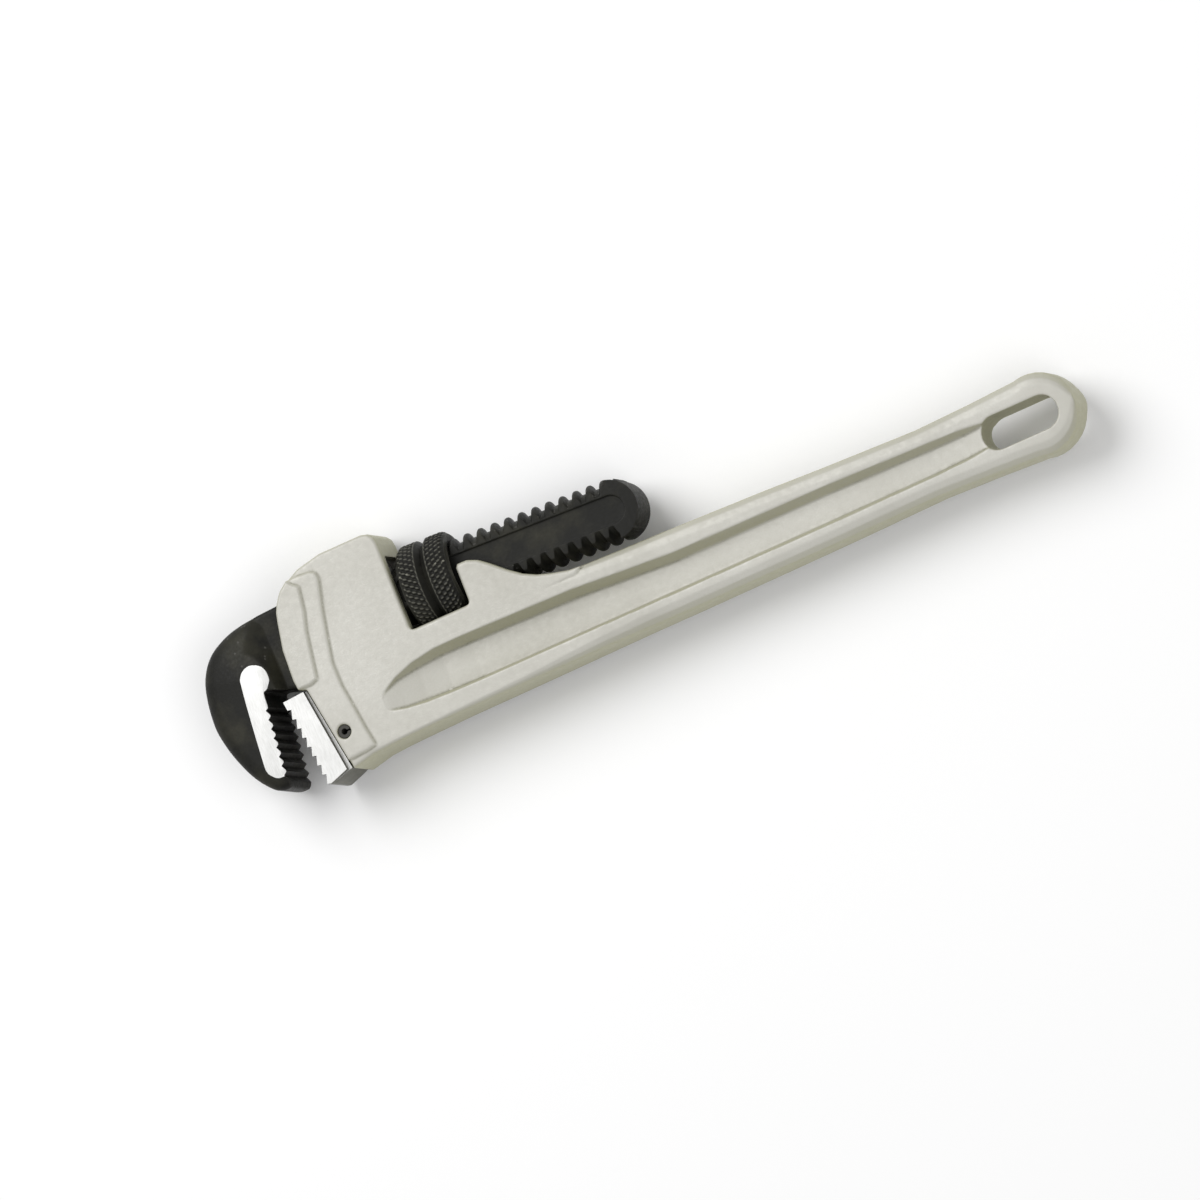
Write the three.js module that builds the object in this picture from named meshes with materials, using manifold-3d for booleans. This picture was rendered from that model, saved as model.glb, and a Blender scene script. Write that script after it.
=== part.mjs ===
// Straight pipe wrench with a cast aluminium handle, 350 mm class, 50 mm pipe capacity.
// Units are millimetres. The wrench lies flat: +X runs along the handle to the hanging slot,
// +Y points to the nut side, +Z is the thickness. The layout below is drawn on the wrench's
// middle plane and the outer group moves it to stand on z = 0, centred in X and Y.
import * as THREE from 'three';
import { mergeVertices } from 'three/addons/utils/BufferGeometryUtils.js';
import Module from 'manifold-3d';

const wasm = await Module();
wasm.setup();

// ---- driving dimensions ----
const HEAD_THICKNESS = 28;
const PAD_STEP = 0.9;
const SEAT_TOP = new THREE.Vector2(36.8, 40);
const SEAT_BOTTOM = new THREE.Vector2(42.5, 6);
const WINDOW_FRONT = 82.5;
const WINDOW_BACK = 107;
const WINDOW_FLOOR = 44.7;
const END_CENTRE = new THREE.Vector2(332.7, 23.5);
const END_RADIUS = 15.8;
const HANG_SLOT = { from: 310.4, to: 341.6, y: 23.3, width: 13 };

const SHANK_TILT = -0.049;
const NUT_CENTRE = new THREE.Vector2(95.6, 59.5);
const SHANK_THICKNESS = 16;
const SHANK_END = 84.6;
const SIDE_CLEARANCE = 0.4;
const THREAD = { pitch: 5.6, major: 12.3, depth: 2.0, crest: 1.7, flank: 1.0, from: -17.6, to: 80 };
const THREAD_CLEARANCE = 0.4;
const NUT_ROOM = 1.1;
const NUT = { length: 19.6, radius: 16.4, grooveDepth: 2.2, grooveHalf: 2.2, chamfer: 1.6 };

const JAW_THICKNESS = 27.4;
const HEEL_THICKNESS = 24.4;
// The heel jaw bears on the seat with its middle; a relief groove runs along each side of it.
const RELIEF = { depth: 2.5, width: 1.5 };
const TONGUE = { front: 35, back: 51, low: 11, high: 33, thickness: 12 };
const TOOTH_DEPTH = 1.5;
const HOOK_TEETH = 8;
const HOOK_FACE = { low: new THREE.Vector2(18.3, 11.4), high: new THREE.Vector2(21.2, 39.8) };
const HEEL_TEETH = 9;
const PIN = { x: 44.5, y: 20, radius: 2.4, bore: 1.2, slit: 0.7, length: 25 };

const SPRING = { x: 68, top: 45.9, bottom: 34.2, coilRadius: 3.3, wire: 0.5, turns: 6 };
const POCKET = { radius: 4.8, bottom: 33, top: 50 };
const GUIDE_PIN = { radius: 2, headRadius: 3.8, bottom: 36.5, top: 48.15 };
const RIVET = { x: 75, radius: 1.5, tailRadius: 2.6, headRadius: 3, headFrom: 82.7, top: 84.7 };
const LEAF = { front: 47, back: 79, width: 10, thickness: 0.9, rivetY: 78.4, sag: 1.5 };
const HOUSING_TOP = 85;
const ROOF = 79.4;
// Behind the leaf spring a lip comes down from the roof.
const LIP = { x: 79.8, y: 74.6 };

const GAP = 0.3;
// Long enough for a cutting solid to pass right through the wrench's thickness.
const THROUGH = 40;
const ROUND = 32;
const OUTER_CENTRE = new THREE.Vector2(172.9, 44.6);

// ---- materials ----
const materials = {
  paintedAluminium: new THREE.MeshStandardMaterial({ color: 0xcbc9c0, roughness: 0.5, metalness: 0.4 }),
  blackSteel: new THREE.MeshStandardMaterial({ color: 0x2b2925, roughness: 0.45, metalness: 0.8 }),
  blackNut: new THREE.MeshStandardMaterial({ color: 0x272721, roughness: 0.4, metalness: 0.8 }),
  brightSteel: new THREE.MeshStandardMaterial({ color: 0xcfcfca, roughness: 0.35, metalness: 0.9 }),
  springSteel: new THREE.MeshStandardMaterial({ color: 0x8b8c90, roughness: 0.3, metalness: 0.9 }),
};

// ---- solids: three.js shapes joined and cut with manifold-3d ----
function welded(geometry) {
  const bare = geometry.clone();
  bare.deleteAttribute('normal');
  bare.deleteAttribute('uv');
  return mergeVertices(bare, 1e-4);
}

function solid(geometry) {
  const merged = welded(geometry);
  return new wasm.Manifold(new wasm.Mesh({
    numProp: 3,
    vertProperties: new Float32Array(merged.attributes.position.array),
    triVerts: new Uint32Array(merged.index.array),
  }));
}

function geometryOf(manifold) {
  const result = manifold.getMesh();
  const geometry = new THREE.BufferGeometry();
  geometry.setAttribute('position', new THREE.BufferAttribute(new Float32Array(result.vertProperties), 3));
  geometry.setIndex(new THREE.BufferAttribute(new Uint32Array(result.triVerts), 1));
  return geometry;
}

function meshOf(name, manifold, material) {
  const geometry = geometryOf(manifold);
  geometry.computeVertexNormals();
  const mesh = new THREE.Mesh(geometry, material);
  mesh.name = name;
  return mesh;
}

// The same shape on the other side of z = 0, its faces turned to point out again.
function mirroredZ(geometry) {
  const mirror = welded(geometry).scale(1, 1, -1);
  const { index } = mirror;
  for (let i = 0; i < index.count; i += 3) {
    const second = index.getX(i + 1);
    index.setX(i + 1, index.getX(i + 2));
    index.setX(i + 2, second);
  }
  return mirror;
}

// A plate of the given outline, centred on z = 0, with its outer edges rounded by bevel.
function plate(shape, thickness, bevel = 0) {
  const geometry = new THREE.ExtrudeGeometry(shape, {
    depth: thickness - 2 * bevel,
    bevelEnabled: bevel > 0,
    bevelThickness: bevel,
    bevelSize: bevel,
    bevelOffset: -bevel,
    bevelSegments: 2,
    curveSegments: 6,
  });
  return geometry.translate(0, 0, bevel - thickness / 2);
}

function box(x0, x1, y0, y1, z0, z1) {
  const geometry = new THREE.BoxGeometry(x1 - x0, y1 - y0, z1 - z0);
  return geometry.translate((x0 + x1) / 2, (y0 + y1) / 2, (z0 + z1) / 2);
}

// A round bar along Z through (x, y).
function barZ(x, y, radius, length, sides = ROUND) {
  return new THREE.CylinderGeometry(radius, radius, length, sides).rotateX(Math.PI / 2).translate(x, y, 0);
}

// A shape of revolution about the line x = x0, z = 0, its profile given as (radius, y).
function turnedY(profile, x0, sides = ROUND) {
  return new THREE.LatheGeometry(profile.map(([r, y]) => new THREE.Vector2(r, y)), sides).translate(x0, 0, 0);
}

function outline(points) {
  return new THREE.Shape(points.map(([x, y]) => new THREE.Vector2(x, y)));
}

function smooth(points, divisions) {
  const curve = new THREE.SplineCurve(points.map(([x, y]) => new THREE.Vector2(x, y)));
  return curve.getPoints(divisions).map((p) => [p.x, p.y]);
}

// ---- the shank's own frame: x along the thread from the nut's centre ----
const shankFrame = new THREE.Matrix4().makeRotationZ(Math.atan(SHANK_TILT));
shankFrame.setPosition(NUT_CENTRE.x, NUT_CENTRE.y, 0);

function onShank(geometry) {
  return geometry.clone().applyMatrix4(shankFrame);
}

function shankPoint(x, y) {
  const p = new THREE.Vector3(x, y, 0).applyMatrix4(shankFrame);
  return [p.x, p.y];
}

// A bar along x whose surface is a right-hand thread: ridges of the given crest width and
// radius over a core. Its grid lines follow the helix, so each flank is one strip of faces.
function threadedBar({ from, to, pitch, core, crest, crestWidth, flank, sides = 36 }) {
  const profile = [
    [-crestWidth / 2 - flank, core],
    [-crestWidth / 2, crest],
    [crestWidth / 2, crest],
    [crestWidth / 2 + flank, core],
  ];
  const first = Math.floor(from / pitch) - 1;
  const last = Math.ceil(to / pitch) + 1;
  const stations = [];
  for (let k = first; k <= last; k += 1) {
    profile.forEach(([x, r]) => stations.push([k * pitch + x, r]));
  }
  const positions = [];
  const index = [];
  const columns = stations.length;
  // One turn of the helix moves the profile by four stations, which closes the seam.
  for (let s = 0; s < sides; s += 1) {
    const angle = (2 * Math.PI * s) / sides;
    stations.forEach(([x, r]) => {
      positions.push(x + (pitch * s) / sides, r * Math.cos(angle), r * Math.sin(angle));
    });
  }
  const perTurn = profile.length;
  const at = (s, c) => (s < sides ? s * columns + c : c + perTurn);
  for (let s = 0; s < sides; s += 1) {
    const length = s < sides - 1 ? columns - 1 : columns - 1 - perTurn;
    for (let c = 0; c < length; c += 1) {
      index.push(at(s, c), at(s + 1, c), at(s, c + 1));
      index.push(at(s + 1, c), at(s + 1, c + 1), at(s, c + 1));
    }
  }
  // Close both ends with a fan from the axis round the end of the helix.
  const low = positions.length / 3;
  const high = low + 1;
  const lastRow = sides - 1;
  const lastColumn = columns - 1;
  positions.push(stations[0][0] - pitch, 0, 0);
  positions.push(stations[lastColumn][0] + pitch, 0, 0);
  for (let s = 0; s < lastRow; s += 1) {
    index.push(low, at(s + 1, 0), at(s, 0));
    index.push(high, at(s, lastColumn), at(s + 1, lastColumn));
  }
  index.push(low, at(0, perTurn), at(lastRow, 0));
  index.push(high, at(lastRow, lastColumn - perTurn), at(0, lastColumn));
  for (let c = 0; c < perTurn; c += 1) {
    index.push(low, at(0, c), at(0, c + 1));
    index.push(high, at(lastRow, lastColumn - c), at(lastRow, lastColumn - c - 1));
  }
  const bar = new wasm.Manifold(new wasm.Mesh({
    numProp: 3,
    vertProperties: new Float32Array(positions),
    triVerts: new Uint32Array(index),
  }));
  const reach = crest + 1;
  return bar.intersect(solid(box(from, to, -reach, reach, -reach, reach)));
}

function placed(manifold, matrix) {
  return solid(geometryOf(manifold).applyMatrix4(matrix));
}

// ---- handle: head, bar, channels, slots ----
const CHEEK_TOP_BACK = [[107, 59], [108, 60.3], [112, 60.2], [116, 58.5], [120, 55.3], [125, 50.8],
  [130, 47], [135, 44.5], [140, 42.9], [147, 41.2], [152, 40.8]];
const HEAD_FRONT = [[34, 41], [33.5, 45], [33.7, 50], [34, 57], [35, 62], [36, 67], [37, 71],
  [38.5, 74], [41, 77.5], [45, 80.5], [50, 83], [60, HOUSING_TOP]];

function headShape() {
  return outline([
    [SEAT_BOTTOM.x, SEAT_BOTTOM.y], [SEAT_TOP.x, SEAT_TOP.y], ...HEAD_FRONT,
    [WINDOW_FRONT - 5, HOUSING_TOP], [WINDOW_FRONT - 2.2, HOUSING_TOP - 0.8],
    [WINDOW_FRONT - 0.5, HOUSING_TOP - 2.8], [WINDOW_FRONT, HOUSING_TOP - 5.5],
    [WINDOW_FRONT, WINDOW_FLOOR + 1.5],
    [WINDOW_FRONT + 1.5, WINDOW_FLOOR], [WINDOW_BACK - 1.5, WINDOW_FLOOR],
    [WINDOW_BACK, WINDOW_FLOOR + 1.5], ...CHEEK_TOP_BACK,
    [149, 38], [120, 37.6], [101, 37], [93, 12], [84, 9.25], [60, 8.5], [52, 8],
  ].reverse());
}

// The raised pads on the head's sides. The lower one also runs down beside the jaw's seat.
function padShape(beforeFront, steps) {
  return outline([...beforeFront, ...HEAD_FRONT.slice(0, 10), ...steps].reverse());
}
const INNER_STEP = [[49, 80.5], [54.5, 80], [56.5, 79], [57, 76.5], [54, 65], [51.7, 54], [50, 45],
  [50.2, 36], [51.5, 27], [52.7, 18], [54, 10.6], [50, 9.8]];
const OUTER_STEP = [[46.5, 78.6], [49, 76.5], [47.5, 67], [45.5, 60], [43.8, 50], [42.5, 42],
  [39.5, 40.9]];

// The bar at stations along X: [x, low y, high y, thickness].
const BAR = [[62, 8.6, 37, 24.3], [87, 9.2, 41.2, 24.3], [115, 9.3, 41.4, 24.3], [150, 9.4, 41.2, 24.2],
  [167, 9.3, 40.9, 22.9], [186, 9.2, 40.5, 22], [225, 9.4, 39.3, 20.7], [250, 9.6, 38.2, 20],
  [287, 10.2, 37, 18.6], [310, 9.3, 37.7, 18.3]];
const CORNER = { sharp: 1.4, round: 5, from: 104, to: 170 };
const END_THICKNESS = 18;
const END_ARC = { from: THREE.MathUtils.degToRad(106), to: 0.12, steps: 9 };

function barStations() {
  const stations = [...BAR];
  for (let i = 0; i <= END_ARC.steps; i += 1) {
    const angle = THREE.MathUtils.lerp(END_ARC.from, END_ARC.to, i / END_ARC.steps);
    const half = END_RADIUS * Math.sin(angle);
    const x = END_CENTRE.x + END_RADIUS * Math.cos(angle);
    stations.push([x, END_CENTRE.y - half, END_CENTRE.y + half, END_THICKNESS]);
  }
  return stations;
}

// A bar through the stations, each a rectangle with rounded corners.
function loftedBar(stations) {
  const cornerSteps = 3;
  const ringSize = 4 * (cornerSteps + 1);
  const positions = [];
  stations.forEach(([x, low, high, thickness]) => {
    const halfY = (high - low) / 2;
    const halfZ = thickness / 2;
    const share = THREE.MathUtils.clamp((x - CORNER.from) / (CORNER.to - CORNER.from), 0, 1);
    const cornerRadius = THREE.MathUtils.lerp(CORNER.sharp, CORNER.round, share);
    const r = Math.min(cornerRadius, halfY * 0.9, halfZ * 0.9);
    for (let corner = 0; corner < 4; corner += 1) {
      const sy = corner === 0 || corner === 3 ? 1 : -1;
      const sz = corner < 2 ? 1 : -1;
      for (let i = 0; i <= cornerSteps; i += 1) {
        const a = (Math.PI / 2) * (corner + i / cornerSteps);
        const y = (low + high) / 2 + sy * (halfY - r) + r * Math.cos(a);
        positions.push(x, y, sz * (halfZ - r) + r * Math.sin(a));
      }
    }
  });
  return ringLoft(positions, ringSize);
}

// Skins rings of points, given one ring after the other, and closes both ends.
function ringLoft(positions, ringSize) {
  const index = [];
  const rings = positions.length / 3 / ringSize;
  const at = (s, i) => s * ringSize + (i % ringSize);
  for (let s = 0; s < rings - 1; s += 1) {
    for (let i = 0; i < ringSize; i += 1) {
      index.push(at(s, i), at(s, i + 1), at(s + 1, i));
      index.push(at(s, i + 1), at(s + 1, i + 1), at(s + 1, i));
    }
  }
  for (let i = 1; i < ringSize - 1; i += 1) {
    index.push(at(0, 0), at(0, i + 1), at(0, i));
    index.push(at(rings - 1, 0), at(rings - 1, i), at(rings - 1, i + 1));
  }
  const geometry = new THREE.BufferGeometry();
  geometry.setAttribute('position', new THREE.Float32BufferAttribute(positions, 3));
  geometry.setIndex(index);
  return geometry;
}

// The channel on each side of the bar: [x, low y, high y, floor z], fading out at both ends.
const CHANNEL = [[60.5, 22, 24, 12.5], [64, 20, 27.4, 11.8], [70, 18.6, 30.8, 10], [78, 17.6, 33.4, 7.8],
  [88, 17.2, 34.9, 6], [100, 17, 35, 5.2], [145, 17, 34, 5], [186, 17, 31.3, 5], [250, 17.2, 31, 5],
  [290, 17.6, 30, 5], [304, 18.2, 29.6, 5.6], [320, 19.2, 29.4, 9.3]];
// Each wall's slope across Y, and the depth at which it is full. The lips stay a hair below the
// bar's faces, so that the channel breaks cleanly through them.
const CHANNEL_SLOPE = { low: 1.6, high: 2.6, fullDepth: 5, lip: 0.12 };

function halfThickness(x) {
  const k = Math.max(1, BAR.findIndex(([stationX]) => stationX >= x));
  const [x0, , , t0] = BAR[k - 1];
  const [x1, , , t1] = BAR[k];
  return THREE.MathUtils.lerp(t0, t1, THREE.MathUtils.clamp((x - x0) / (x1 - x0), 0, 1)) / 2;
}

function channelCutters() {
  const outside = 16;
  const positions = [];
  CHANNEL.forEach(([x, low, high, floor]) => {
    const surface = halfThickness(x) - CHANNEL_SLOPE.lip;
    const share = THREE.MathUtils.clamp((surface - floor) / CHANNEL_SLOPE.fullDepth, 0.1, 1);
    const ring = [[low, outside], [low, surface], [low + CHANNEL_SLOPE.low * share, floor],
      [high - CHANNEL_SLOPE.high * share, floor], [high, surface], [high, outside]];
    ring.forEach(([y, z]) => positions.push(x, y, z));
  });
  const geometry = ringLoft(positions, 6);
  return solid(geometry).add(solid(mirroredZ(geometry)));
}

function stadium(from, to, y, width) {
  const r = width / 2;
  const shape = new THREE.Shape();
  shape.absarc(from + r, y, r, Math.PI / 2, 1.5 * Math.PI, false);
  shape.absarc(to - r, y, r, -Math.PI / 2, Math.PI / 2, false);
  shape.closePath();
  return shape;
}

// The head in three levels, each pad standing one step above the last, with the bar joined on.
function handleBody() {
  const padFoot = SEAT_BOTTOM.clone().lerp(SEAT_TOP, 0.1);
  const lowerSeat = [[padFoot.x, padFoot.y], [SEAT_TOP.x, SEAT_TOP.y]];
  const levels = [
    [headShape(), HEAD_THICKNESS - 4 * PAD_STEP, 1.2],
    [padShape(lowerSeat, INNER_STEP), HEAD_THICKNESS - 2 * PAD_STEP, 0.8],
    [padShape([], OUTER_STEP), HEAD_THICKNESS, 0.8],
  ];
  const bar = solid(loftedBar(barStations()));
  const plates = levels.map(([shape, thickness, bevel]) => solid(plate(shape, thickness, bevel)));
  return plates.reduce((body, level) => body.add(level), bar);
}

// The slot that the neck and shank slide in. It is open at the front and behind the window.
function shankSlot() {
  const shape = outline([
    [20, 39.5], [58, 39.5], [62, 46.8], [WINDOW_FRONT - 1, 45.8], [WINDOW_FRONT - 1, WINDOW_FLOOR],
    [WINDOW_BACK + 1, 43.4], [150, 41.9], [200, 40.9], [200, 90], [WINDOW_FRONT + 0.5, 90],
    [WINDOW_FRONT + 0.5, LIP.y], [LIP.x, LIP.y], [LIP.x, ROOF], [20, ROOF],
  ]);
  return solid(plate(shape, SHANK_THICKNESS + 2 * SIDE_CLEARANCE));
}

// Where the nut turns: the window, rounded out below to clear the nut.
function nutWindow() {
  const half = THROUGH / 2;
  const window = solid(box(WINDOW_FRONT, WINDOW_BACK, WINDOW_FLOOR, 100, -half, half));
  const span = solid(box(WINDOW_FRONT, WINDOW_BACK, 20, 100, -half, half));
  const room = NUT.radius + NUT_ROOM;
  const cylinder = new THREE.CylinderGeometry(room, room, 60, 48).rotateZ(Math.PI / 2);
  return window.add(solid(onShank(cylinder)).intersect(span));
}

function handle() {
  const tongueHalf = TONGUE.thickness / 2 + GAP;
  const rivetRadius = RIVET.radius + GAP;
  const headRadius = RIVET.headRadius + GAP;
  const headSeat = RIVET.headFrom - GAP;
  const cutters = [
    channelCutters(),
    shankSlot(),
    nutWindow(),
    solid(box(30, TONGUE.back + GAP, TONGUE.low - GAP, TONGUE.high + GAP, -tongueHalf, tongueHalf)),
    solid(barZ(PIN.x, PIN.y, PIN.radius + GAP, THROUGH, 20)),
    solid(plate(stadium(HANG_SLOT.from, HANG_SLOT.to, HANG_SLOT.y, HANG_SLOT.width), THROUGH)),
    solid(turnedY([[0, POCKET.bottom], [POCKET.radius, POCKET.bottom], [POCKET.radius, POCKET.top],
      [0, POCKET.top]], SPRING.x, 24)),
    solid(turnedY([[0, 70], [rivetRadius, 70], [rivetRadius, headSeat], [headRadius, headSeat],
      [headRadius, 90], [0, 90]], RIVET.x, 20)),
  ];
  const body = cutters.reduce((rest, cutter) => rest.subtract(cutter), handleBody());
  return meshOf('handle', body, materials.paintedAluminium);
}

// ---- heel jaw and its pin ----
const HEEL_TOP = new THREE.Vector2(26.5, 39.3);
const HEEL_BOTTOM = new THREE.Vector2(30.9, 4.2);

// The jaw's profile, its back the given distances short of the seat at the foot and the top.
function heelJawShape(footGap, topGap) {
  const points = [[SEAT_BOTTOM.x - footGap, 6.9], [SEAT_TOP.x - topGap, 39.9], [HEEL_TOP.x, HEEL_TOP.y]];
  for (let i = 0; i < HEEL_TEETH; i += 1) {
    const tip = HEEL_TOP.clone().lerp(HEEL_BOTTOM, (i + 0.86) / HEEL_TEETH);
    const root = HEEL_TOP.clone().lerp(HEEL_BOTTOM, (i + 0.96) / HEEL_TEETH);
    points.push([tip.x, tip.y], [root.x + TOOTH_DEPTH, root.y]);
  }
  return outline(points);
}

function heelJaw() {
  const { front, back, low, high, thickness } = TONGUE;
  let jaw = solid(plate(heelJawShape(1.1, 0.9), HEEL_THICKNESS - 2 * RELIEF.depth));
  jaw = jaw.add(solid(plate(heelJawShape(1.1 + RELIEF.width, 0.9 + RELIEF.width / 2), HEEL_THICKNESS)));
  jaw = jaw.add(solid(box(front, back, low, high, -thickness / 2, thickness / 2)));
  jaw = jaw.subtract(solid(barZ(PIN.x, PIN.y, PIN.radius + GAP, THROUGH, 20)));
  return meshOf('heel_jaw', jaw, materials.brightSteel);
}

// A slotted spring pin, its ends sunk below the housing's sides.
function heelJawPin() {
  let pin = solid(barZ(PIN.x, PIN.y, PIN.radius, PIN.length, 24));
  pin = pin.subtract(solid(barZ(PIN.x, PIN.y, PIN.bore, THROUGH, 16)));
  const slit = box(PIN.x, PIN.x + 2 * PIN.radius, PIN.y - PIN.slit / 2, PIN.y + PIN.slit / 2,
    -THROUGH / 2, THROUGH / 2);
  pin = pin.subtract(solid(slit));
  return meshOf('heel_jaw_pin', pin, materials.blackSteel);
}

// ---- hook jaw: forged jaw, neck and threaded shank in one piece ----
function hookJawShape() {
  const back = smooth([[28, 73.9], [20.3, 73], [13.2, 71.1], [6, 67.2], [1, 61], [-1.7, 53], [-2.8, 43],
    [-2, 36], [0.7, 27], [5, 18], [10.2, 11.5], [13.8, 9.2], [17.3, 9.1]], 26);
  return outline([...back, [18.2, 11.4], [HOOK_FACE.high.x, HOOK_FACE.high.y], [21.7, 45.7], [24.3, 45.4],
    [27, 44.4]]);
}

// The notches between the hook's teeth, each tooth tip left on the face line.
function hookNotches() {
  const points = [];
  for (let i = 0; i < HOOK_TEETH; i += 1) {
    const tip = HOOK_FACE.low.clone().lerp(HOOK_FACE.high, i / HOOK_TEETH);
    const root = HOOK_FACE.low.clone().lerp(HOOK_FACE.high, (i + 0.75) / HOOK_TEETH);
    points.push([tip.x, tip.y + 0.3], [root.x - TOOTH_DEPTH, root.y]);
  }
  points.push([HOOK_FACE.high.x, HOOK_FACE.high.y], [HOOK_FACE.high.x + 3, HOOK_FACE.high.y]);
  points.push([HOOK_FACE.high.x + 3, HOOK_FACE.low.y]);
  return solid(plate(outline(points), JAW_THICKNESS + 4));
}

function neckShape() {
  const rear = THREAD.from + 0.4;
  return outline([[20, 48], [24.3, 45.4], [32.6, 42.2], [36, 41.6], [40, 41.8], [44, 43.2], [50, 47],
    shankPoint(-41, -THREAD.major + 0.2), shankPoint(rear, -THREAD.major + 0.2),
    shankPoint(rear, THREAD.major - 0.2), shankPoint(-58, THREAD.major - 0.2), [28, 73.9], [20, 72.9]]);
}

function roundEnd(from, radius) {
  const shape = new THREE.Shape();
  shape.moveTo(from, -radius);
  shape.lineTo(SHANK_END - radius, -radius);
  shape.absarc(SHANK_END - radius, 0, radius, -Math.PI / 2, Math.PI / 2, false);
  shape.lineTo(from, radius);
  return shape;
}

// The threaded shank: flat-sided, with a long shallow recess on each side. The thread runs out
// into a smooth round end.
const RECESS = { from: -14, to: SHANK_END - 5, width: 11, depth: 1 };

function shank() {
  const { pitch, major, depth, from, to, crest, flank } = THREAD;
  const half = THROUGH / 2;
  const thread = threadedBar({ from, to, pitch, core: major - depth, crest: major, crestWidth: crest, flank });
  const sides = solid(plate(roundEnd(from - 1, major), SHANK_THICKNESS));
  const smoothEnd = solid(plate(roundEnd(60, major - 1), SHANK_THICKNESS, 1.2));
  const threadedPart = solid(box(0, SHANK_END - major, -half, half, -half, half));
  const recess = plate(stadium(RECESS.from, RECESS.to, 0, RECESS.width), 2 * RECESS.depth);
  recess.translate(0, 0, SHANK_THICKNESS / 2);
  const recesses = solid(recess).add(solid(mirroredZ(recess)));
  return thread.intersect(sides).add(smoothEnd.subtract(threadedPart)).subtract(recesses);
}

function hookJaw() {
  let jaw = solid(plate(hookJawShape(), JAW_THICKNESS, 1.5)).subtract(hookNotches());
  jaw = jaw.add(solid(plate(neckShape(), SHANK_THICKNESS, 1)));
  jaw = jaw.add(placed(shank(), shankFrame));
  return meshOf('hook_jaw', jaw, materials.blackSteel);
}

// ---- adjusting nut ----
function adjustingNut() {
  const half = NUT.length / 2;
  const { radius: R, chamfer, grooveDepth, grooveHalf } = NUT;
  const profile = [[0, -half], [R - chamfer, -half], [R, -half + chamfer], [R, -grooveHalf],
    [R - grooveDepth, 0], [R, grooveHalf], [R, half - chamfer], [R - chamfer, half], [0, half]];
  const body = new THREE.LatheGeometry(profile.map(([r, y]) => new THREE.Vector2(r, y)), 48)
    .rotateZ(-Math.PI / 2);
  const { pitch, major, depth, crest, flank } = THREAD;
  const bore = threadedBar({ from: -half - 1, to: half + 1, pitch, core: major - depth + THREAD_CLEARANCE,
    crest: major + THREAD_CLEARANCE, crestWidth: crest + 2 * THREAD_CLEARANCE, flank });
  const nut = solid(body).subtract(bore);
  return meshOf('adjusting_nut', placed(nut, shankFrame), materials.blackNut);
}

// ---- springs ----
class Helix extends THREE.Curve {
  getPoint(t, target = new THREE.Vector3()) {
    const angle = 2 * Math.PI * SPRING.turns * t;
    const y = SPRING.bottom + SPRING.wire + t * (SPRING.top - SPRING.bottom - 2 * SPRING.wire);
    return target.set(SPRING.x + SPRING.coilRadius * Math.cos(angle), y, SPRING.coilRadius * Math.sin(angle));
  }
}

function coilSpring() {
  const section = new THREE.Shape();
  section.absarc(0, 0, SPRING.wire, 0, 2 * Math.PI, false);
  const wire = new THREE.ExtrudeGeometry(section, {
    steps: SPRING.turns * 10, curveSegments: 3, bevelEnabled: false, extrudePath: new Helix(),
  });
  return meshOf('coil_spring', solid(wire), materials.springSteel);
}

function springGuidePin() {
  const { radius, headRadius, bottom, top } = GUIDE_PIN;
  const shoulder = SPRING.top + GAP;
  const pin = turnedY([[0, bottom], [radius - 0.6, bottom], [radius, bottom + 0.7], [radius, shoulder],
    [headRadius, shoulder], [headRadius, top - 0.8], [headRadius - 1.2, top], [0, top]], SPRING.x, 20);
  return meshOf('spring_guide_pin', solid(pin), materials.springSteel);
}

// The leaf is a shallow bow riveted under the roof at its rear end.
function flatSpring() {
  const { front, back, thickness, rivetY, sag } = LEAF;
  const flatFrom = RIVET.x - 4;
  const top = smooth([[front, rivetY], [front + 6, rivetY - sag], [(front + flatFrom) / 2, rivetY - sag - 0.3],
    [flatFrom - 5, rivetY - 0.5], [flatFrom, rivetY]], 14);
  top.push([back, rivetY]);
  const under = top.map(([x, y]) => [x, y - thickness]).reverse();
  let leaf = solid(plate(outline([...under, ...top]), LEAF.width));
  leaf = leaf.subtract(solid(turnedY([[0, 70], [RIVET.radius + GAP, 70], [RIVET.radius + GAP, 82], [0, 82]],
    RIVET.x, 20)));
  return meshOf('flat_spring', leaf, materials.springSteel);
}

function flatSpringRivet() {
  const under = LEAF.rivetY - LEAF.thickness - GAP;
  const { radius, tailRadius, headRadius, headFrom, top } = RIVET;
  const rivet = turnedY([[0, under - 1], [tailRadius, under - 1], [tailRadius, under], [radius, under],
    [radius, headFrom], [headRadius, headFrom], [headRadius, top], [0, top]], RIVET.x, 20);
  return meshOf('flat_spring_rivet', solid(rivet), materials.springSteel);
}

// ---- assembly ----
const wrench = new THREE.Group();
wrench.add(handle(), heelJaw(), heelJawPin(), hookJaw(), adjustingNut());
wrench.add(coilSpring(), springGuidePin(), flatSpring(), flatSpringRivet());
wrench.position.set(-OUTER_CENTRE.x, -OUTER_CENTRE.y, NUT.radius);

const assembly = new THREE.Group();
assembly.add(wrench);
export default assembly;
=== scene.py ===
import math

import bpy
import numpy as np
from mathutils import Matrix, Vector
from mathutils.geometry import interpolate_bezier


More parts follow.
